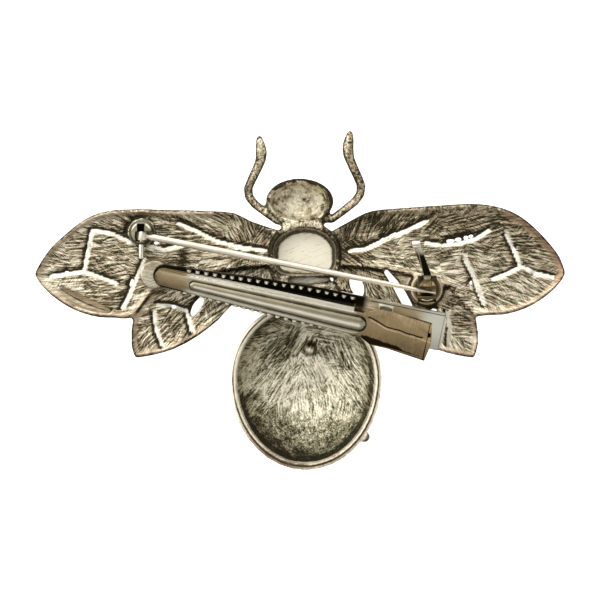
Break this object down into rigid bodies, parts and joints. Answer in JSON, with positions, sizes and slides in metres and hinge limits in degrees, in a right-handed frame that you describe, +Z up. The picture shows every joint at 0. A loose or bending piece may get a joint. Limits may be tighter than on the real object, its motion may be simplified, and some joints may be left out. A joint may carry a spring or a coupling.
{
  "type": "brooch",
  "caption": "Bee-shaped cast brooch seen from its hollow back, with a hinged pin, a turning safety catch and a hair clip soldered across it.",
  "frame": {"origin": "centre of the bounding box, at the surface the brooch lies on, face down", "axes": "+X across the wings towards the safety catch, +Y from the abdomen towards the head, +Z up, out of the brooch's back"},
  "size_m": [0.0798, 0.0511, 0.0162],
  "materials": {
    "cast_alloy": "antique silver plate on cast alloy, bright on the ridges and dark in the hollows",
    "fitting_metal": "plated, lightly tarnished",
    "pin_wire": "bright drawn wire",
    "catch_metal": "plated, worn to a brown tone",
    "clip_pale": "pale nickel plate",
    "clip_sheet": "brushed nickel plate, tarnished brown towards the tail",
    "clip_dark": "dark steel"
  },
  "bodies": {
    "brooch": {"bee_casting": "cast_alloy", "hinge_bracket": "fitting_metal", "hinge_rivet": "fitting_metal", "catch_housing": "catch_metal", "clip_base_jaw": "clip_pale", "clip_axle": "clip_dark", "clip_spring": "clip_dark"},
    "pin": {"pin_stem": "pin_wire"},
    "catch": {"catch_roller": "catch_metal"},
    "clip_lever": {"clip_top_jaw": "clip_sheet"}
  },
  "joints": [
    {"name": "pin_swing", "type": "hinge", "parent": "brooch", "child": "pin", "pos_m": [-0.0237, 0.01008, 0.0098], "axis": [0, -1, 0], "range_deg": [0, 100]},
    {"name": "catch_turn", "type": "hinge", "parent": "brooch", "child": "catch", "pos_m": [0.019, 0.00168, 0.0098], "axis": [1, 0, 0], "range_deg": [0, 100]},
    {"name": "clip_open", "type": "hinge", "parent": "brooch", "child": "clip_lever", "pos_m": [0.0123, -0.00378, 0.01177], "axis": [0.1896, 0.932, 0.309], "range_deg": [0, 24], "stiffness_Nm_per_rad": 0.01, "springref_deg": -22.92}
  ]
}
